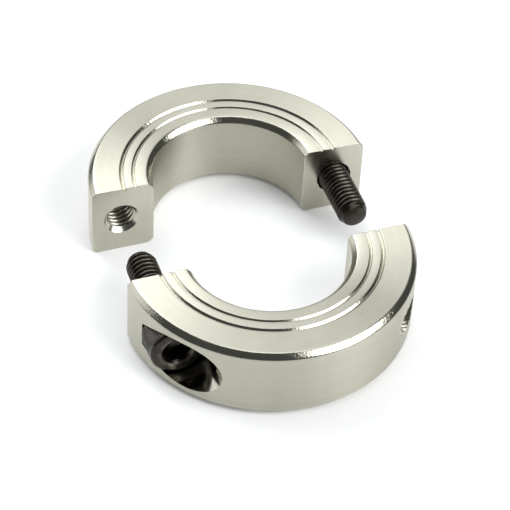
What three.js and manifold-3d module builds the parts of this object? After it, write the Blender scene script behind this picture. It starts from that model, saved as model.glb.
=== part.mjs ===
// Two-piece clamp shaft collar for a 30 mm shaft, lying opened on a bench.
//
// Two identical half rings close around the shaft. Each half has a tapped hole at one end and,
// at the other, a clearance hole with a counterbore that seats an M6 socket head cap screw.
// The halves lie pulled apart along the screws. The model is unchanged by half a turn about +Z.
//
// Millimetres. +Z is up, along the bore. +Y runs along the screws, from the front half to the
// rear half. The origin is midway between the halves, on the plane they rest on.

import * as THREE from 'three';
import { mergeVertices } from 'three/addons/utils/BufferGeometryUtils.js';
import Module from 'manifold-3d';

const wasm = await Module();
wasm.setup();

// Ring
const BORE_RADIUS = 15;
const OUTER_RADIUS = 27;
const WIDTH = 15;
const CHAMFER = 1;
const OPEN_DISTANCE = 21.5;          // between the two bore centres, as the halves lie
const SPLIT_OFFSET = 0.9;            // half of the saw gap that is left when the bores line up
const GROOVES = [                    // turned into the top face, with walls at 45 degrees
  { radius: 20.7, depth: 0.4 },
  { radius: 18.5, depth: 0.32 },
];
const GROOVE_FLOOR = 0.04;           // half width of a groove's floor

// Screw holes
const SCREW_X = 21.25;               // from the bore's axis to a screw's axis
const SCREW_Z = WIDTH / 2;
const SHOULDER_Y = 7.1;              // from the bore's centre plane to the seat under a head
const CLEARANCE_RADIUS = 3.3;
const POCKET_RADIUS = 5.4;
const COUNTERSINK_RADIUS = 3.4;
const COUNTERSINK_DEPTH = 1.05;      // from the face to where it meets the thread's root

// M6 x 18 socket head cap screw
const PITCH = 1;
const SCREW_LENGTH = 18;
const THREAD_CREST = 2.95;
const THREAD_ROOT = 2.35;
const THREAD_CLEARANCE = 0.2;        // added to both radii of the tapped hole
const CREST_HALF_WIDTH = 0.0625;
const FLANK_SLOPE = Math.tan(Math.PI / 6);
const SHANK_RADIUS = 2.7;
const SHANK_LENGTH = 2.4;
const TIP_RADIUS = 2.3;
const TIP_LENGTH = 1.4;
const HEAD_RADIUS = 5;
const HEAD_HEIGHT = 6;
const HEAD_CHAMFER = 0.5;
const SEAT_GAP = 0.1;                // between a head and its seat
const SOCKET_ACROSS_FLATS = 5;
const SOCKET_DEPTH = 3;
const DRILL_POINT = 1.2;             // depth of the cone below the hexagon

// Facets
const RING_SEGMENTS = 96;
const HOLE_SEGMENTS = 32;
const THREAD_SEGMENTS = 16;

const MARGIN = 2;                    // how far a cutting tool runs past the metal
const FAR = 2 * OUTER_RADIUS;        // past everything

const aluminium = { color: 0xc9c8bd, roughness: 0.32, metalness: 1 };
const blackOxide = { color: 0x1b1a19, roughness: 0.45, metalness: 0.85 };

// ---- solids ------------------------------------------------------------------------------

function signedVolume(position, index) {
  const [a, b, c] = [new THREE.Vector3(), new THREE.Vector3(), new THREE.Vector3()];
  let volume = 0;
  for (let i = 0; i < index.length; i += 3) {
    a.fromArray(position, 3 * index[i]);
    b.fromArray(position, 3 * index[i + 1]);
    c.fromArray(position, 3 * index[i + 2]);
    volume += a.dot(b.cross(c)) / 6;
  }
  return volume;
}

/** A closed geometry as a solid, with its faces turned outwards. */
function solid(geometry) {
  geometry.deleteAttribute('normal');
  geometry.deleteAttribute('uv');
  const merged = mergeVertices(geometry, 1e-5);
  const position = merged.attributes.position.array;
  const triangles = [];
  for (let i = 0; i < merged.index.count; i += 3) {
    const [a, b, c] = merged.index.array.subarray(i, i + 3);
    if (a !== b && b !== c && c !== a) triangles.push(a, b, c);
  }
  if (signedVolume(position, triangles) < 0) triangles.reverse();
  return new wasm.Manifold(new wasm.Mesh({
    numProp: 3,
    vertProperties: new Float32Array(position),
    triVerts: new Uint32Array(triangles),
  }));
}

function geometryOf(manifold) {
  const mesh = manifold.getMesh();
  const geometry = new THREE.BufferGeometry();
  geometry.setAttribute('position', new THREE.BufferAttribute(mesh.vertProperties.slice(), 3));
  geometry.setIndex(new THREE.BufferAttribute(mesh.triVerts.slice(), 1));
  return geometry;
}

/** A solid of revolution about Y from [radius, y] pairs. */
function turned(profile, segments) {
  return new THREE.LatheGeometry(profile.map(([r, y]) => new THREE.Vector2(r, y)), segments);
}

/** A plain rod about the Y axis. */
function rod(radius, from, to) {
  return turned([[0, from], [radius, from], [radius, to], [0, to]], HOLE_SEGMENTS);
}

/** Puts something made about the Y axis on a screw's axis: side +1 is the screw, -1 the tap. */
function onScrewAxis(geometry, side) {
  return solid(geometry.translate(side * SCREW_X, 0, SCREW_Z));
}

// ---- threads -----------------------------------------------------------------------------

/**
 * A right-hand threaded rod about the Y axis. Its crest crosses the +Z side wherever y is a
 * whole number of pitches, so rods of different sizes stay in step. The ends are ragged, and
 * are trimmed by whatever the rod is cut with.
 */
function threadedRod(crest, root, from, to) {
  const flank = (crest - root) * FLANK_SLOPE;
  const section = [
    [root, -CREST_HALF_WIDTH - flank],
    [crest, -CREST_HALF_WIDTH],
    [crest, CREST_HALF_WIDTH],
    [root, CREST_HALF_WIDTH + flank],
  ];
  const steps = Math.round((to - from) / PITCH) * THREAD_SEGMENTS;
  const points = [];
  for (let i = 0; i <= steps; i += 1) {
    const angle = (2 * Math.PI * i) / THREAD_SEGMENTS;
    for (const [radius, offset] of section) {
      const y = from + (PITCH * i) / THREAD_SEGMENTS + offset;
      points.push(radius * Math.sin(angle), y, radius * Math.cos(angle));
    }
  }
  const count = section.length;
  const lastRow = points.length / 3 - count;
  const start = points.length / 3;
  points.push(0, from - PITCH, 0, 0, to + PITCH, 0);

  // A quad row's last column meets the first column one turn further on.
  const at = (i, k) => (k < count ? i * count + k : (i + THREAD_SEGMENTS) * count + k - count);
  const index = [];
  for (let i = 0; i < steps; i += 1) {
    const columns = i + THREAD_SEGMENTS < steps ? count : count - 1;
    for (let k = 0; k < columns; k += 1) {
      const [a, b, c, d] = [at(i, k), at(i + 1, k), at(i + 1, k + 1), at(i, k + 1)];
      index.push(a, b, c, a, c, d);
    }
  }
  const firstLoop = [];
  for (let i = 0; i <= THREAD_SEGMENTS; i += 1) firstLoop.push(at(i, 0));
  for (let k = count - 1; k > 0; k -= 1) firstLoop.push(at(0, k));
  const lastLoop = [];
  for (let i = steps - THREAD_SEGMENTS; i <= steps; i += 1) lastLoop.push(at(i, count - 1));
  for (let k = count - 2; k >= 0; k -= 1) lastLoop.push(lastRow + k);
  firstLoop.forEach((v, n) => index.push(start, firstLoop[(n + 1) % firstLoop.length], v));
  lastLoop.forEach((v, n) => index.push(start + 1, v, lastLoop[(n + 1) % lastLoop.length]));

  const geometry = new THREE.BufferGeometry();
  geometry.setAttribute('position', new THREE.Float32BufferAttribute(points, 3));
  geometry.setIndex(index);
  return geometry;
}

// ---- the half ring -----------------------------------------------------------------------

/** The turned ring's section, from the bottom of the bore round to the top of the bore. */
function ringSection() {
  const grooves = GROOVES.flatMap(({ radius, depth }) => [
    [radius + GROOVE_FLOOR + depth, WIDTH],
    [radius + GROOVE_FLOOR, WIDTH - depth],
    [radius - GROOVE_FLOOR, WIDTH - depth],
    [radius - GROOVE_FLOOR - depth, WIDTH],
  ]);
  const section = [
    [BORE_RADIUS, CHAMFER],
    [BORE_RADIUS + CHAMFER, 0],
    [OUTER_RADIUS - CHAMFER, 0],
    [OUTER_RADIUS, CHAMFER],
    [OUTER_RADIUS, WIDTH - CHAMFER],
    [OUTER_RADIUS - CHAMFER, WIDTH],
    ...grooves,
    [BORE_RADIUS + CHAMFER, WIDTH],
    [BORE_RADIUS, WIDTH - CHAMFER],
  ];
  return [...section, section[0]];
}

/** The tapped hole: the other half's screw thread, made larger, where that screw will come. */
function tappedHole() {
  const thread = onScrewAxis(threadedRod(
    THREAD_CREST + THREAD_CLEARANCE,
    THREAD_ROOT + THREAD_CLEARANCE,
    -Math.ceil(OPEN_DISTANCE + OUTER_RADIUS + MARGIN),
    -Math.floor(OPEN_DISTANCE - MARGIN),
  ), 1);
  const mated = thread.translate([0, OPEN_DISTANCE, 0]).rotate([0, 0, 180]);
  return mated.intersect(onScrewAxis(rod(FAR / 4, -MARGIN, OUTER_RADIUS), -1));
}

function countersink() {
  const slope = (COUNTERSINK_RADIUS - THREAD_ROOT) / COUNTERSINK_DEPTH;
  return onScrewAxis(turned([
    [0, SPLIT_OFFSET - MARGIN],
    [COUNTERSINK_RADIUS + MARGIN * slope, SPLIT_OFFSET - MARGIN],
    [THREAD_ROOT, SPLIT_OFFSET + COUNTERSINK_DEPTH],
    [0, SPLIT_OFFSET + COUNTERSINK_DEPTH],
  ], HOLE_SEGMENTS), -1);
}

function halfRing() {
  const ring = solid(turned(ringSection(), RING_SEGMENTS).rotateX(Math.PI / 2));
  const keep = solid(new THREE.BoxGeometry(2 * FAR, FAR, 2 * FAR)
    .translate(0, SPLIT_OFFSET + FAR / 2, 0));
  return geometryOf(ring.intersect(keep)
    .subtract(onScrewAxis(rod(CLEARANCE_RADIUS, SPLIT_OFFSET - MARGIN, SHOULDER_Y + MARGIN), 1))
    .subtract(onScrewAxis(rod(POCKET_RADIUS, SHOULDER_Y, OUTER_RADIUS + MARGIN), 1))
    .subtract(tappedHole())
    .subtract(countersink()));
}

// ---- the cap screw -----------------------------------------------------------------------

/** The outside of the head and of the plain shank under it. */
function screwHead(seat) {
  const top = seat + HEAD_HEIGHT;
  return onScrewAxis(turned([
    [0, seat - SHANK_LENGTH],
    [SHANK_RADIUS - HEAD_CHAMFER, seat - SHANK_LENGTH],
    [SHANK_RADIUS, seat - SHANK_LENGTH + HEAD_CHAMFER],
    [SHANK_RADIUS, seat],
    [HEAD_RADIUS, seat],
    [HEAD_RADIUS, top - HEAD_CHAMFER],
    [HEAD_RADIUS - HEAD_CHAMFER, top],
    [0, top],
  ], HOLE_SEGMENTS), 1);
}

/** The hexagon socket and the drill point at its bottom. */
function hexSocket(seat) {
  const corner = SOCKET_ACROSS_FLATS / 2 / Math.cos(Math.PI / 6);
  const floor = seat + HEAD_HEIGHT - SOCKET_DEPTH;
  const hexagon = new THREE.CylinderGeometry(corner, corner, SOCKET_DEPTH + MARGIN, 6)
    .translate(0, floor + (SOCKET_DEPTH + MARGIN) / 2, 0);
  const point = turned([
    [0, floor - DRILL_POINT],
    [SOCKET_ACROSS_FLATS / 2 - HEAD_CHAMFER, floor],
    [SOCKET_ACROSS_FLATS / 2 - HEAD_CHAMFER, floor + HEAD_CHAMFER],
    [0, floor + HEAD_CHAMFER],
  ], HOLE_SEGMENTS / 2);
  return onScrewAxis(hexagon, 1).add(onScrewAxis(point, 1));
}

/** The envelope that gives the thread its chamfered point and its square upper end. */
function threadEnvelope(seat) {
  const tip = seat - SCREW_LENGTH;
  const shoulder = TIP_RADIUS + MARGIN;
  const slope = (THREAD_CREST - TIP_RADIUS) / TIP_LENGTH;
  return onScrewAxis(turned([
    [0, tip],
    [TIP_RADIUS, tip],
    [shoulder, tip + MARGIN / slope],
    [shoulder, seat - SHANK_LENGTH + HEAD_CHAMFER],
    [0, seat - SHANK_LENGTH + HEAD_CHAMFER],
  ], HOLE_SEGMENTS), 1);
}

function capScrew() {
  const seat = SHOULDER_Y + SEAT_GAP;
  const thread = onScrewAxis(threadedRod(
    THREAD_CREST,
    THREAD_ROOT,
    -Math.ceil(SCREW_LENGTH),
    Math.ceil(seat + PITCH),
  ), 1);
  return geometryOf(thread.intersect(threadEnvelope(seat)).add(screwHead(seat))
    .subtract(hexSocket(seat)));
}

// ---- assembly ----------------------------------------------------------------------------

function part(name, geometry, finish) {
  const mesh = new THREE.Mesh(geometry, new THREE.MeshStandardMaterial(finish));
  mesh.name = name;
  return mesh;
}

function collarHalf(place, turn) {
  const group = new THREE.Group();
  group.add(part(`${place}_half`, halfRing(), aluminium));
  group.add(part(`${place}_cap_screw`, capScrew(), blackOxide));
  for (const mesh of group.children) mesh.position.y = OPEN_DISTANCE / 2;
  group.rotation.z = turn;
  return group;
}

const collar = new THREE.Group();
collar.add(collarHalf('rear', 0));
collar.add(collarHalf('front', Math.PI));

export default collar;
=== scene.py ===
"""Two-piece clamp shaft collar: turned aluminium half rings and black socket head cap screws.

Lengths are millimetres in the code and metres in the finished meshes. Each half ring is made
round its own bore centre and each screw round its own axis, so a piece's object coordinates
follow the way it was machined. The front pieces are the rear ones turned half round about +Z.
"""
import math

import bmesh
import bpy
from mathutils import Matrix, Vector


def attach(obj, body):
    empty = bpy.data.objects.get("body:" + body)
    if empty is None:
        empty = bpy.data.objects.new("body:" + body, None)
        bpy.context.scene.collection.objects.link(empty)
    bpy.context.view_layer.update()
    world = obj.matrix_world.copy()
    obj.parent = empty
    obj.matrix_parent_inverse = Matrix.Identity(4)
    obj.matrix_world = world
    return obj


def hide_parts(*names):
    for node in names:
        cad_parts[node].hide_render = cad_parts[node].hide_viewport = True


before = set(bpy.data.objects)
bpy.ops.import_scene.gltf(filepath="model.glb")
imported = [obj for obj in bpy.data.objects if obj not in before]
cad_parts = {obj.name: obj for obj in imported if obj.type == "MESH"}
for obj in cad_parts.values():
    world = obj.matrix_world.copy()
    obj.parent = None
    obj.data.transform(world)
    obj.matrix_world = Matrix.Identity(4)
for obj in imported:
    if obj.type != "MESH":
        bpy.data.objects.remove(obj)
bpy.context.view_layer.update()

MM = 0.001

# Ring
BORE_RADIUS = 15
OUTER_RADIUS = 26.98                 # just inside the CAD ring's facets
WIDTH = 15
CHAMFER = 1
OPEN_DISTANCE = 21.5                 # between the two bore centres, as the halves lie
SPLIT_OFFSET = 0.9                   # half of the saw gap that is left when the bores line up
GROOVES = ((20.7, 0.4), (18.5, 0.32))  # radius and depth; the walls slope at 45 degrees
GROOVE_FLOOR = 0.04                  # half width of a groove's floor
CORNER_FILLET = 0.28                 # set back along each side of a corner
LONGEST_CUT = 0.4                    # share of an edge that one of its corners may take
GROOVE_FILLET = 0.06
SPLIT_FILLET = 0.12
LEAST_SLOPE = 0.3                    # rise and run of a slanting edge, as shares of its length

# Screw holes
SCREW_X = 21.25
SCREW_Z = WIDTH / 2
SHOULDER_Y = 7.1                     # from the bore's centre plane to the seat under a head
CLEARANCE_RADIUS = 3.3
POCKET_RADIUS = 5.4
POCKET_FILLET = 0.25
FILLET_MIDDLE = 0.3                  # how far in a fillet's middle lies, as a share of its radius
HOLE_EDGE = 0.15                     # chamfer at each end of the clearance hole
COUNTERSINK_RADIUS = 3.4
COUNTERSINK_DEPTH = 1.05

# Screw
PITCH = 1
SCREW_LENGTH = 18
THREAD_CREST = 2.95
THREAD_ROOT = 2.35
THREAD_CLEARANCE = 0.2               # added to both radii of the tapped hole
CREST_HALF_WIDTH = 0.0625
FLANK_SLOPE = math.tan(math.pi / 6)
SHANK_RADIUS = 2.7
SHANK_LENGTH = 2.4
SHANK_CHAMFER = 0.3
TIP_RADIUS = 2.3
TIP_LENGTH = 1.4
TIP_EDGE = (0.1, 0.06)               # in from the tip's radius, and up from its flat end
HEAD_RADIUS = 5
HEAD_HEIGHT = 6
SEAT_EDGE = ((0.35, 0), (0.12, 0.12), (0.06, 0.2), (0, 0.45))  # in from the radius, up from the seat
KNURL_TEETH = 56
KNURL_DEPTH = 0.16
KNURL_START = 0.2                    # above the seat
KNURL_MIDDLE = 2.5                   # a row of points between the two ends, above the seat
KNURL_END = 0.35                     # below the rounded rim
RIM_ROUND = 0.6
RIM_INSET = 0.04                     # from the knurl's crests to the rim
SEAT_GAP = 0.1                       # between a head and its seat
SOCKET_ACROSS_FLATS = 5
SOCKET_DEPTH = 3
SOCKET_FILLET = 0.12
MOUTH_RADIUS = 3.0
DRILL_POINT = 1.2                    # depth of the cone below the hexagon
DRILL_INSET = 0.4                    # from the hexagon's flats to the cone
DRILL_LIP = 0.05
DRILL_OVERLAP = 0.5                  # up into the hexagon, so that the two join

# Smoothness
RING_STEPS = 300                     # along a half ring
HOLE_STEPS = 96
THREAD_STEPS = 64
KNURL_STEPS = 6                      # per tooth
CORNER_STEPS = 4
SPLIT_STEPS = 3
RIM_STEPS = 6
SHARP_ANGLE = 32                     # degrees
MERGE_DISTANCE = 1e-5
DEGENERATE_LENGTH = 1e-4

MARGIN = 2                           # how far a shape reaches past the place where it cuts or is cut

TURNED, CHAMFERED, SPLIT, POCKET, TAPPED = range(5)


# ---- mesh helpers ------------------------------------------------------------------------

def mesh_object(name, points, faces, materials=()):
    mesh = bpy.data.meshes.new(name)
    mesh.from_pydata(points, [], faces)
    for material in materials:
        mesh.materials.append(material)
    shape = bmesh.new()
    shape.from_mesh(mesh)
    bmesh.ops.remove_doubles(shape, verts=shape.verts, dist=MERGE_DISTANCE)
    bmesh.ops.recalc_face_normals(shape, faces=shape.faces)
    shape.to_mesh(mesh)
    shape.free()
    item = bpy.data.objects.new(name, mesh)
    bpy.context.scene.collection.objects.link(item)
    return item


def paint(item, index):
    for polygon in item.data.polygons:
        polygon.material_index = index
    return item


def combine(item, operation, tool):
    """Applies one boolean and removes the tool."""
    modifier = item.modifiers.new(operation, "BOOLEAN")
    modifier.operation = operation
    modifier.solver = "MANIFOLD"
    modifier.object = tool
    bpy.context.view_layer.update()
    graph = bpy.context.evaluated_depsgraph_get()
    mesh = bpy.data.meshes.new_from_object(item.evaluated_get(graph))
    item.modifiers.clear()
    item.data = mesh
    bpy.data.objects.remove(tool)
    return item


def rounded(outline, setback):
    """A closed outline with each corner cut back by setback and replaced by a small arc."""
    points = []
    count = len(outline)
    for i, corner in enumerate(outline):
        corner = Vector(corner)
        arms = [Vector(outline[(i + side) % count]) - corner for side in (-1, 1)]
        cut = setback(corner) if callable(setback) else setback
        start, end = (corner + arm * min(cut / arm.length, LONGEST_CUT) for arm in arms)
        for k in range(CORNER_STEPS + 1):
            t = k / CORNER_STEPS
            point = start * (1 - t) ** 2 + corner * (2 * t * (1 - t)) + end * t ** 2
            points.append(point.to_tuple())
    return points


def lathe(name, profile, steps, materials=(), radius_at=None):
    """A solid of revolution about +Y from (radius, y) pairs that start and end on the axis."""
    points = []
    for radius, y in profile:
        for i in range(steps):
            angle = 2 * math.pi * i / steps
            r = radius if radius_at is None else radius_at(radius, y, angle)
            points.append((r * math.sin(angle), y, r * math.cos(angle)))
    faces = []
    for j in range(len(profile) - 1):
        for i in range(steps):
            k = (i + 1) % steps
            faces.append((j * steps + i, j * steps + k, (j + 1) * steps + k, (j + 1) * steps + i))
    return mesh_object(name, points, faces, materials)


def at_screw(item, side):
    """Moves something made about the Y axis to a screw's axis in the half's own frame."""
    item.data.transform(Matrix.Translation((side * SCREW_X, 0, SCREW_Z)))
    return item


# ---- threads -----------------------------------------------------------------------------

def thread_section(crest, root):
    """(offset along the axis, radius) pairs over one pitch of a thread with softened corners."""
    flank = (crest - root) * FLANK_SLOPE
    foot = CREST_HALF_WIDTH + flank
    half = [(0, 1), (0.75 * CREST_HALF_WIDTH, 1), (CREST_HALF_WIDTH + 0.12 * flank, 0.93),
            (CREST_HALF_WIDTH + 0.5 * flank, 0.5), (CREST_HALF_WIDTH + 0.85 * flank, 0.15),
            (foot, 0.03), (0.45 * PITCH, 0)]
    shares = [(-offset, share) for offset, share in reversed(half[1:])] + half
    return [(offset, root + (crest - root) * share) for offset, share in shares]


def threaded_rod(name, crest, root, turns, first, materials=()):
    """A right-hand threaded rod about +Y whose crest crosses the +Z side at y = first."""
    section = thread_section(crest, root)
    columns = len(section)
    last = turns * columns
    points = []
    for i in range(THREAD_STEPS):
        share = i / THREAD_STEPS
        for k in range(last + 1):
            turn, column = divmod(k, columns)
            offset, radius = section[column]
            y = first + PITCH * (turn + share) + offset
            points.append((radius * math.sin(2 * math.pi * share), y,
                           radius * math.cos(2 * math.pi * share)))

    def at(i, k):
        """The point in column k of step i. One turn on, a step meets the first one a pitch up."""
        return i * (last + 1) + k if i < THREAD_STEPS else k + columns

    faces = []
    for i in range(THREAD_STEPS):
        for k in range(last if i < THREAD_STEPS - 1 else last - columns):
            faces.append((at(i, k), at(i + 1, k), at(i + 1, k + 1), at(i, k + 1)))
    start = [at(i, 0) for i in range(THREAD_STEPS)] + [at(0, k) for k in range(columns, 0, -1)]
    end = [at(i, last) for i in range(THREAD_STEPS)]
    end += [at(THREAD_STEPS - 1, last - k) for k in range(1, columns + 1)]
    points += [(0, first - PITCH, 0), (0, first + PITCH * (turns + 1), 0)]
    for centre, loop in ((len(points) - 2, start), (len(points) - 1, end)):
        for a, b in zip(loop, loop[1:] + loop[:1]):
            faces.append((centre, a, b))
    return mesh_object(name, points, faces, materials)


# ---- half ring ---------------------------------------------------------------------------

def ring_outline():
    """The section's (radius, z) corners, from the bore's lower edge up the outside."""
    outline = [
        (BORE_RADIUS, CHAMFER), (BORE_RADIUS + CHAMFER, 0),
        (OUTER_RADIUS - CHAMFER, 0), (OUTER_RADIUS, CHAMFER),
        (OUTER_RADIUS, WIDTH - CHAMFER), (OUTER_RADIUS - CHAMFER, WIDTH),
    ]
    for radius, depth in GROOVES:
        outline += [(radius + side * (GROOVE_FLOOR + drop), WIDTH - depth + drop)
                    for side, drop in ((1, depth), (1, 0), (-1, 0), (-1, depth))]
    return outline + [(BORE_RADIUS + CHAMFER, WIDTH), (BORE_RADIUS, WIDTH - CHAMFER)]


def corner_setback(corner):
    in_groove = BORE_RADIUS + 2 * CHAMFER < corner.x < OUTER_RADIUS - 2 * CHAMFER
    return GROOVE_FILLET if in_groove else CORNER_FILLET


def inset(outline, distance):
    """The outline moved into the metal, which lies on the left of its direction of travel."""
    points = []
    for i, point in enumerate(outline):
        before, after = outline[i - 1], outline[(i + 1) % len(outline)]
        along = Vector((after[0] - before[0], after[1] - before[1])).normalized()
        points.append((point[0] - along.y * distance, point[1] + along.x * distance))
    return points


def on_slope(a, b):
    """True on the chamfers and the groove walls, which are turned finer than the rest."""
    length = math.dist(a, b)
    return min(abs(a[0] - b[0]), abs(a[1] - b[1])) > LEAST_SLOPE * length


def half_ring_body(materials):
    outline = rounded(ring_outline(), corner_setback)
    count = len(outline)
    fillet = [math.pi / 2 * k / SPLIT_STEPS for k in range(SPLIT_STEPS + 1)]
    rows = []
    for angle in fillet:
        moved = inset(outline, SPLIT_FILLET * (1 - math.sin(angle)))
        y = SPLIT_OFFSET + SPLIT_FILLET * (1 - math.cos(angle))
        rows.append([(math.sqrt(r * r - y * y), y, z) for r, z in moved])
    y = SPLIT_OFFSET + SPLIT_FILLET
    middle = []
    for i in range(1, RING_STEPS):
        row = []
        for r, z in outline:
            start = math.asin(y / r)
            angle = start + (math.pi - 2 * start) * i / RING_STEPS
            row.append((r * math.cos(angle), r * math.sin(angle), z))
        middle.append(row)
    rows = rows + middle + [[(-x, y, z) for x, y, z in row] for row in reversed(rows)]
    points = [point for row in rows for point in row]
    faces, kinds = [], []
    for j in range(len(rows) - 1):
        at_split = j < len(fillet) - 1 or j >= len(rows) - len(fillet)
        for i in range(count):
            k = (i + 1) % count
            faces.append((j * count + i, j * count + k, (j + 1) * count + k, (j + 1) * count + i))
            polished = on_slope(outline[i], outline[k])
            kinds.append(SPLIT if at_split else CHAMFERED if polished else TURNED)
    faces += [tuple(range(count)), tuple(range(len(points) - count, len(points)))]
    kinds += [SPLIT, SPLIT]
    item = mesh_object("half", points, faces, materials)
    for polygon, kind in zip(item.data.polygons, kinds):
        polygon.material_index = kind
    return item


def half_ring(materials):
    body = half_ring_body(materials)
    bend = FILLET_MIDDLE * POCKET_FILLET
    channel = lathe("channel", [
        (0, SPLIT_OFFSET - MARGIN),
        (CLEARANCE_RADIUS + HOLE_EDGE + MARGIN, SPLIT_OFFSET - MARGIN),
        (CLEARANCE_RADIUS, SPLIT_OFFSET + HOLE_EDGE),
        (CLEARANCE_RADIUS, SHOULDER_Y - HOLE_EDGE),
        (CLEARANCE_RADIUS + HOLE_EDGE, SHOULDER_Y),
        (POCKET_RADIUS - POCKET_FILLET, SHOULDER_Y),
        (POCKET_RADIUS - bend, SHOULDER_Y + bend),
        (POCKET_RADIUS, SHOULDER_Y + POCKET_FILLET),
        (POCKET_RADIUS, OUTER_RADIUS + MARGIN),
        (0, OUTER_RADIUS + MARGIN),
    ], HOLE_STEPS, materials)
    combine(body, "DIFFERENCE", at_screw(paint(channel, POCKET), 1))

    slope = (COUNTERSINK_RADIUS - THREAD_ROOT) / COUNTERSINK_DEPTH
    turns = OUTER_RADIUS + 3 * MARGIN
    first = -OPEN_DISTANCE % PITCH - MARGIN
    tap = threaded_rod("tap", THREAD_CREST + THREAD_CLEARANCE, THREAD_ROOT + THREAD_CLEARANCE,
                       math.ceil(turns), first, materials)
    entry = lathe("entry", [
        (0, SPLIT_OFFSET - MARGIN),
        (COUNTERSINK_RADIUS + MARGIN * slope, SPLIT_OFFSET - MARGIN),
        (THREAD_ROOT, SPLIT_OFFSET + COUNTERSINK_DEPTH),
        (0, SPLIT_OFFSET + COUNTERSINK_DEPTH),
    ], HOLE_STEPS, materials)
    combine(body, "DIFFERENCE", at_screw(paint(tap, TAPPED), -1))
    combine(body, "DIFFERENCE", at_screw(paint(entry, TAPPED), -1))
    return body


# ---- cap screw ---------------------------------------------------------------------------

def knurl(seat):
    """Radius of the head at a height and an angle: straight teeth that fade at both ends."""
    start = seat + KNURL_START
    end = seat + HEAD_HEIGHT - RIM_ROUND - KNURL_END

    def radius_at(radius, y, angle):
        if radius < HEAD_RADIUS - KNURL_DEPTH or y <= start or y >= end:
            return radius
        tooth = abs(math.cos(angle * KNURL_TEETH / 2))
        return radius - KNURL_DEPTH * (1 - tooth)

    return radius_at


def screw_head(seat, materials):
    top = seat + HEAD_HEIGHT
    neck = seat - SHANK_LENGTH
    profile = [
        (0, neck), (SHANK_RADIUS - SHANK_CHAMFER, neck),
        (SHANK_RADIUS, neck + SHANK_CHAMFER), (SHANK_RADIUS, seat),
    ]
    profile += [(HEAD_RADIUS - inward, seat + up) for inward, up in SEAT_EDGE]
    profile += [
        (HEAD_RADIUS, seat + KNURL_MIDDLE),
        (HEAD_RADIUS, top - RIM_ROUND - 2 * KNURL_END),
        (HEAD_RADIUS - RIM_INSET, top - RIM_ROUND - KNURL_END),
    ]
    for k in range(RIM_STEPS + 1):
        angle = math.pi / 2 * k / RIM_STEPS
        profile.append((HEAD_RADIUS - RIM_INSET - RIM_ROUND * (1 - math.cos(angle)),
                        top - RIM_ROUND * (1 - math.sin(angle))))
    profile.append((0, top))
    return lathe("head", profile, KNURL_TEETH * KNURL_STEPS, materials, knurl(seat))


def hex_socket(seat, materials):
    """A cutting tool: hexagon, drill point below it and chamfered mouth above it."""
    top = seat + HEAD_HEIGHT
    floor = top - SOCKET_DEPTH
    corner = SOCKET_ACROSS_FLATS / 2 / math.cos(math.pi / 6)
    sixth = math.pi / 3
    corners = [(corner * math.cos(sixth * k), corner * math.sin(sixth * k)) for k in range(6)]
    hexagon = rounded(corners, SOCKET_FILLET)
    count = len(hexagon)
    points = [(x, y, z) for y in (floor, top + MARGIN) for x, z in hexagon]
    faces = [(i, (i + 1) % count, (i + 1) % count + count, i + count) for i in range(count)]
    faces += [tuple(range(count)), tuple(range(count, 2 * count))]
    tool = mesh_object("hexagon", points, faces, materials)
    flat = SOCKET_ACROSS_FLATS / 2
    drill = lathe("drill", [
        (0, floor - DRILL_POINT), (flat - DRILL_INSET, floor - DRILL_LIP),
        (flat - DRILL_INSET, floor + DRILL_OVERLAP), (0, floor + DRILL_OVERLAP),
    ], HOLE_STEPS, materials)
    mouth = lathe("mouth", [
        (0, top - (MOUTH_RADIUS - flat)), (flat, top - (MOUTH_RADIUS - flat)),
        (MOUTH_RADIUS + MARGIN, top + MARGIN), (0, top + MARGIN),
    ], HOLE_STEPS, materials)
    combine(tool, "UNION", drill)
    combine(tool, "UNION", mouth)
    return tool


def cap_screw(materials):
    seat = SHOULDER_Y + SEAT_GAP
    tip = seat - SCREW_LENGTH
    slope = (THREAD_CREST - TIP_RADIUS) / TIP_LENGTH
    shoulder = TIP_RADIUS + MARGIN
    thread_end = seat - SHANK_LENGTH + SHANK_CHAMFER
    inward, up = TIP_EDGE
    envelope = lathe("envelope", [
        (0, tip), (TIP_RADIUS - inward, tip), (TIP_RADIUS, tip + up),
        (shoulder, tip + MARGIN / slope), (shoulder, thread_end), (0, thread_end),
    ], HOLE_STEPS, materials)
    first = math.floor(tip) - MARGIN
    turns = math.ceil(seat) - first + MARGIN
    screw = threaded_rod("screw", THREAD_CREST, THREAD_ROOT, turns, first, materials)
    combine(screw, "INTERSECT", envelope)
    combine(screw, "UNION", screw_head(seat, materials))
    combine(screw, "DIFFERENCE", hex_socket(seat, materials))
    return screw


# ---- materials ---------------------------------------------------------------------------

STREAK_STRETCH = 0.08                # millimetres of pattern for each radian round an axis
UP = (0, 0, 1)
ALONG_SCREW = (0, 1, 0)
ORIGIN = (0, 0, 0)
SCREW_HOLE = (SCREW_X * MM, 0, SCREW_Z * MM)
BRIGHT_METAL = (0.525, 0.513, 0.435, 1)
DULL_METAL = (0.46, 0.448, 0.37, 1)
DRY_OXIDE = (0.014, 0.011, 0.008, 1)
OILED_OXIDE = (0.034, 0.028, 0.020, 1)
# lighter oxide for the thread's crests: partly wear, partly a painted highlight
WORN_AND_HIGHLIT_OXIDE = (0.13, 0.115, 0.092, 1)
COMMON_NOISE = (0.3, 0.7)            # the part of its range where most of a noise lies


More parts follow.
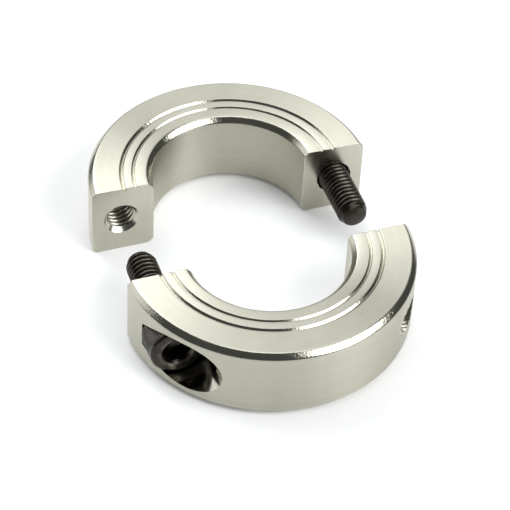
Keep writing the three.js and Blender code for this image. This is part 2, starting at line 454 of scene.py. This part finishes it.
class Shader:
    """A material's node tree, with short calls for the nodes that it needs."""

    def __init__(self, name):
        self.material = bpy.data.materials.new(name)
        self.material.use_nodes = True
        self.tree = self.material.node_tree
        self.surface = self.tree.nodes["Principled BSDF"]

    def node(self, kind, *inputs, output=0, **settings):
        made = self.tree.nodes.new("ShaderNode" + kind)
        for key, value in settings.items():
            setattr(made, key, value)
        for socket, value in zip(made.inputs, inputs):
            self.feed(socket, value)
        return made.outputs[output]

    def feed(self, socket, value):
        if isinstance(value, bpy.types.NodeSocket):
            self.tree.links.new(value, socket)
        elif value is not None:
            socket.default_value = value

    def math(self, operation, *inputs):
        return self.node("Math", *inputs, operation=operation)

    def vector(self, operation, *inputs):
        return self.node("VectorMath", *inputs, operation=operation)

    def length(self, value):
        return self.node("VectorMath", value, operation="LENGTH", output=1)

    def span(self, value, low, high, to_low=0.0, to_high=1.0):
        return self.node("MapRange", value, low, high, to_low, to_high)

    def blend(self, first, share, second):
        """The share of first plus the rest of second."""
        return self.math("ADD", self.math("MULTIPLY", first, share),
                         self.math("MULTIPLY", second, 1 - share))

    def noise(self, position, size, detail=2.0, roughness=0.5):
        """Noise from 0 to 1 whose features are about size millimetres across."""
        return self.node("TexNoise", position, None, 1 / (size * MM), detail, roughness,
                         noise_dimensions="3D")

    def mix(self, share, low, high):
        made = self.tree.nodes.new("ShaderNodeMix")
        made.data_type = "RGBA"
        self.feed(made.inputs["Factor"], share)
        for name, value in (("A", low), ("B", high)):
            socket = next(s for s in made.inputs if s.name == name and s.type == "RGBA")
            self.feed(socket, value)
        return next(s for s in made.outputs if s.type == "RGBA")

    def bump(self, height, distance, strength=1.0):
        made = self.tree.nodes.new("ShaderNodeBump")
        made.inputs["Strength"].default_value = strength
        made.inputs["Distance"].default_value = distance * MM
        self.feed(made.inputs["Height"], height)
        return made.outputs["Normal"]

    def set(self, **values):
        for name, value in values.items():
            self.feed(self.surface.inputs[name.replace("_", " ")], value)


def round_axis(shader, place, axis):
    """Position about an axis through place: (distance from it, height along it, small angle)."""
    moved = shader.vector("SUBTRACT", place[0], place[1])
    along = shader.node("VectorMath", moved, axis, operation="DOT_PRODUCT", output=1)
    flat = shader.vector("SUBTRACT", moved, shader.vector("MULTIPLY", moved, axis))
    split = shader.tree.nodes.new("ShaderNodeSeparateXYZ")
    shader.feed(split.inputs[0], flat)
    across = split.outputs["Y" if axis[2] else "Z"]
    angle = shader.math("ARCTAN2", across, split.outputs["X"])
    stretched = shader.math("MULTIPLY", angle, STREAK_STRETCH * MM)
    streaks = shader.node("CombineXYZ", shader.length(flat), along, stretched)
    tangent = shader.node("VectorTransform", shader.vector("CROSS_PRODUCT", axis, moved),
                          vector_type="VECTOR", convert_from="OBJECT", convert_to="WORLD")
    return streaks, tangent


def cut_metal(name, place, axis, roughness, anisotropy, mark_depth, mottle=0.0):
    """Aluminium cut round an axis: tool marks, faint random blotches that also paint soft upright
    bands of reflection on the walls, and, if asked, a mottle.
    """
    shader = Shader(name)
    position = shader.node("TexCoord", output=3)
    streaks, tangent = round_axis(shader, (position, place), axis)
    fine = shader.noise(streaks, 0.22, 1, 0.5)
    coarse = shader.noise(streaks, 0.9, 2, 0.5)
    # random blotches on the flat faces; stretched upright, this noise paints soft light and dark bands
    # into the walls' colour, a painted reflection
    smudge = shader.noise(shader.vector("MULTIPLY", position, (1, 1, 0.15)), 4.5, 3, 0.55)
    speckle = shader.noise(position, 0.4, 2, 0.6)
    # this tone carries the painted reflection bands of the walls into the base colour
    tone = shader.blend(coarse, 0.5, smudge)
    blotches = shader.math("MULTIPLY", speckle, mottle)
    relief = shader.math("ADD", shader.blend(fine, 0.5, coarse), blotches)
    low, high = COMMON_NOISE
    shader.set(
        Base_Color=shader.mix(shader.span(tone, low, high), DULL_METAL, BRIGHT_METAL),
        Metallic=1.0,
        Roughness=shader.span(shader.math("ADD", tone, blotches), low, high + mottle, *roughness),
        Anisotropic=anisotropy,
        Anisotropic_Rotation=0.25,
        Tangent=tangent,
        Normal=shader.bump(relief, mark_depth),
    )
    return shader.material


def split_face():
    """The sawn and polished faces where the halves meet, with streaks along the bore."""
    shader = Shader("sawn_aluminium")
    position = shader.node("TexCoord", output=3)
    streaks = shader.vector("MULTIPLY", position, (1, 1, 0.03))
    fine = shader.noise(streaks, 0.2, 1, 0.5)
    coarse = shader.noise(streaks, 0.7, 2, 0.5)
    smudge = shader.noise(position, 4, 3, 0.55)
    marks = shader.blend(fine, 0.5, coarse)
    tone = shader.blend(marks, 0.6, smudge)
    tangent = shader.node("VectorTransform", (1, 0, 0), vector_type="VECTOR",
                          convert_from="OBJECT", convert_to="WORLD")
    shader.set(
        Base_Color=shader.mix(shader.span(tone, *COMMON_NOISE), DULL_METAL, BRIGHT_METAL),
        Metallic=1.0,
        Roughness=shader.span(tone, *COMMON_NOISE, 0.18, 0.26),
        Anisotropic=0.5,
        Tangent=tangent,
        Normal=shader.bump(marks, 0.006),
    )
    return shader.material


def black_oxide():
    """Oiled black oxide on steel, lighter on the thread's crests: partly wear, partly a painted
    highlight.
    """
    shader = Shader("black_oxide")
    position = shader.node("TexCoord", output=3)
    streaks, _ = round_axis(shader, (position, ORIGIN), ALONG_SCREW)
    grain = shader.noise(position, 0.12, 3, 0.6)
    oil = shader.noise(position, 1.6, 3, 0.55)
    lines = shader.noise(streaks, 0.15, 2, 0.6)
    split = shader.tree.nodes.new("ShaderNodeSeparateXYZ")
    shader.feed(split.inputs[0], streaks)
    radius = split.outputs["X"]
    crest = shader.span(radius, (THREAD_CREST - 0.12) * MM, THREAD_CREST * MM)
    on_thread = shader.span(radius, (HEAD_RADIUS - 1) * MM, (THREAD_CREST + 0.1) * MM)
    # the crests' lighter colour: partly wear, partly a painted highlight along each crest
    crest_wear_and_highlight = shader.math("MULTIPLY", shader.math("MULTIPLY", crest, on_thread),
                         shader.span(oil, 0.35, 0.7, 0.1, 1.0))
    plain = shader.mix(shader.span(oil, *COMMON_NOISE), DRY_OXIDE, OILED_OXIDE)
    shader.set(
        Base_Color=shader.mix(crest_wear_and_highlight, plain, WORN_AND_HIGHLIT_OXIDE),
        Metallic=0.6,
        Roughness=shader.span(shader.blend(grain, 0.4, oil), *COMMON_NOISE, 0.18, 0.26),
        Normal=shader.bump(shader.blend(grain, 0.5, lines), 0.004),
    )
    return shader.material


def floor_material():
    shader = Shader("pale_floor")
    shader.set(Base_Color=(0.88, 0.88, 0.88, 1), Roughness=0.6, Specular_IOR_Level=0.2,
               Emission_Color=(1, 1, 1, 1), Emission_Strength=0.07)
    return shader.material


# ---- pieces ------------------------------------------------------------------------------

def finished(item):
    """Scales a piece to metres and smooths it between its sharp edges."""
    shape = bmesh.new()
    shape.from_mesh(item.data)
    bmesh.ops.dissolve_degenerate(shape, edges=shape.edges, dist=DEGENERATE_LENGTH)
    shape.to_mesh(item.data)
    shape.free()
    item.data.transform(Matrix.Scale(MM, 4))
    item.data.shade_smooth()
    item.data.set_sharp_from_angle(angle=math.radians(SHARP_ANGLE))
    weighting = item.modifiers.new("flat faces stay flat", "WEIGHTED_NORMAL")
    weighting.keep_sharp = True
    return item


def placed(item, name, turn, offset, body, node):
    item.name = name
    item.matrix_world = (Matrix.Rotation(turn, 4, "Z")
                         @ Matrix.Translation(Vector(offset) * MM))
    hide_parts(node)
    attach(item, body)
    return item


def copy_of(item):
    twin = item.copy()
    bpy.context.scene.collection.objects.link(twin)
    return twin


cuts = [
    cut_metal("turned_aluminium", ORIGIN, UP, roughness=(0.31, 0.37), anisotropy=0.88,
              mark_depth=0.004, mottle=0.5),
    cut_metal("chamfer_aluminium", ORIGIN, UP, roughness=(0.08, 0.16), anisotropy=0.3,
              mark_depth=0.012, mottle=3.0),
    split_face(),
    cut_metal("milled_aluminium", SCREW_HOLE, ALONG_SCREW, roughness=(0.08, 0.13),
              anisotropy=0.3, mark_depth=0.001),
    cut_metal("tapped_aluminium", SCREW_HOLE, ALONG_SCREW, roughness=(0.19, 0.26),
              anisotropy=0.0, mark_depth=0.001),
]
ring = finished(half_ring(cuts))
screw = finished(cap_screw([black_oxide()]))
bore_centre = (0, OPEN_DISTANCE / 2, 0)
screw_axis = (SCREW_X, OPEN_DISTANCE / 2, SCREW_Z)
for side, turn, ring_item, screw_item in (
    ("rear", 0, ring, screw),
    ("front", math.pi, copy_of(ring), copy_of(screw)),
):
    placed(ring_item, f"{side}_half_ring", turn, bore_centre,
           f"{side}_half", f"{side}_half")
    placed(screw_item, f"{side}_socket_screw", turn, screw_axis,
           f"{side}_screw", f"{side}_cap_screw")


# ---- studio ------------------------------------------------------------------------------

FLOOR_RADIUS = 130
FLOOR_STEPS = 128
FLOOR_DROP = 0.01                    # below the collar

# Camera: angles in degrees, lengths in millimetres
CAMERA_AZIMUTH = -21.0
CAMERA_ELEVATION = 44.14
CAMERA_ROLL = 3.27
CAMERA_TARGET = (2.476, 2.616, 0)
CAMERA_DISTANCE = 398.3
CAMERA_LENS = 147.67
CAMERA_SENSOR = 36
CAMERA_CLIP = (0.01, 10)             # metres

# Soft boxes: the angles say where they are, and the radiances how bright
BOX_INNER = 10                       # degrees from a soft box's centre to where it starts to fade
BOX_OUTER = 30                       # and to where it ends
KEY_ANGLE = -76                      # where round the ring the outer chamfer mirrors the key box
LEFT_ANGLE = -178                    # and the box on the left
SHEEN_TILT = -20                     # degrees that the turned marks lean the upper face's mirror
KEY_RADIANCE = 6.4
BACK_LEFT_RADIANCE = 3.8
BEHIND_RADIANCE = 1.1
LEFT_RADIANCE = 1.2
OVERHEAD_RADIANCE = 2.0
DIM_ROOM = 0.1
BOX_COLOUR = (0.97, 0.985, 1.0)


def direction(azimuth, elevation):
    a, e = math.radians(azimuth), math.radians(elevation)
    return Vector((math.cos(a) * math.cos(e), math.sin(a) * math.cos(e), math.sin(e)))


def mirrored(normal):
    """The direction that the camera sees in a mirror with this normal."""
    back = direction(CAMERA_AZIMUTH - 90, CAMERA_ELEVATION)
    return 2 * back.dot(normal) * normal - back


def soft_boxes():
    """Each soft box's direction and radiance, placed by the face that mirrors it."""
    return (
        (mirrored(direction(KEY_ANGLE, 45)), KEY_RADIANCE),
        (mirrored(direction(0, 90 - SHEEN_TILT)), BACK_LEFT_RADIANCE),
        (mirrored(Vector(UP)), BEHIND_RADIANCE),
        (mirrored(direction(LEFT_ANGLE, 45)), LEFT_RADIANCE),
        (Vector(UP), OVERHEAD_RADIANCE),
    )


def studio():
    world = bpy.data.worlds.new("studio")
    bpy.context.scene.world = world
    world.use_nodes = True
    tree = world.node_tree
    tree.nodes.clear()

    def new(kind):
        return tree.nodes.new("ShaderNode" + kind)

    looking = new("TexCoord").outputs["Generated"]
    total = None
    for toward, radiance in soft_boxes():
        dot = new("VectorMath")
        dot.operation = "DOT_PRODUCT"
        tree.links.new(looking, dot.inputs[0])
        dot.inputs[1].default_value = toward
        edge = new("MapRange")
        edge.interpolation_type = "SMOOTHSTEP"
        tree.links.new(dot.outputs["Value"], edge.inputs["Value"])
        edge.inputs["From Min"].default_value = math.cos(math.radians(BOX_OUTER))
        edge.inputs["From Max"].default_value = math.cos(math.radians(BOX_INNER))
        edge.inputs["To Max"].default_value = radiance
        add = new("Math")
        tree.links.new(edge.outputs["Result"], add.inputs[0])
        if total is None:
            add.inputs[1].default_value = DIM_ROOM
        else:
            tree.links.new(total, add.inputs[1])
        total = add.outputs[0]
    lit = new("Background")
    lit.inputs["Color"].default_value = (*BOX_COLOUR, 1)
    tree.links.new(total, lit.inputs["Strength"])
    seen = new("Background")
    seen.inputs["Color"].default_value = (1, 1, 1, 1)
    path = new("LightPath")
    mixed = new("MixShader")
    tree.links.new(path.outputs["Is Camera Ray"], mixed.inputs["Fac"])
    tree.links.new(lit.outputs[0], mixed.inputs[1])
    tree.links.new(seen.outputs[0], mixed.inputs[2])
    result = new("OutputWorld")
    tree.links.new(mixed.outputs[0], result.inputs["Surface"])


def floor():
    angles = [2 * math.pi * i / FLOOR_STEPS for i in range(FLOOR_STEPS)]
    rim = [(FLOOR_RADIUS * MM * math.cos(angle), FLOOR_RADIUS * MM * math.sin(angle), -FLOOR_DROP * MM)
           for angle in angles]
    item = mesh_object("floor", rim, [tuple(range(FLOOR_STEPS))], [floor_material()])


def camera():
    back = direction(CAMERA_AZIMUTH - 90, CAMERA_ELEVATION)
    level = (-back).cross(Vector((0, 0, 1))).normalized()
    upright = level.cross(-back)
    roll = math.radians(CAMERA_ROLL)
    right = level * math.cos(roll) + upright * math.sin(roll)
    up = upright * math.cos(roll) - level * math.sin(roll)
    turn = Matrix((right, up, back)).transposed().to_4x4()
    place = (Vector(CAMERA_TARGET) + back * CAMERA_DISTANCE) * MM
    lens = bpy.data.cameras.new("camera")
    lens.lens = CAMERA_LENS
    lens.sensor_width = CAMERA_SENSOR
    lens.clip_start, lens.clip_end = CAMERA_CLIP
    item = bpy.data.objects.new("camera", lens)
    item.matrix_world = Matrix.Translation(place) @ turn
    bpy.context.scene.collection.objects.link(item)
    bpy.context.scene.camera = item


studio()
floor()
camera()
bpy.context.scene.view_settings.view_transform = "Standard"

bpy.context.view_layer.update()
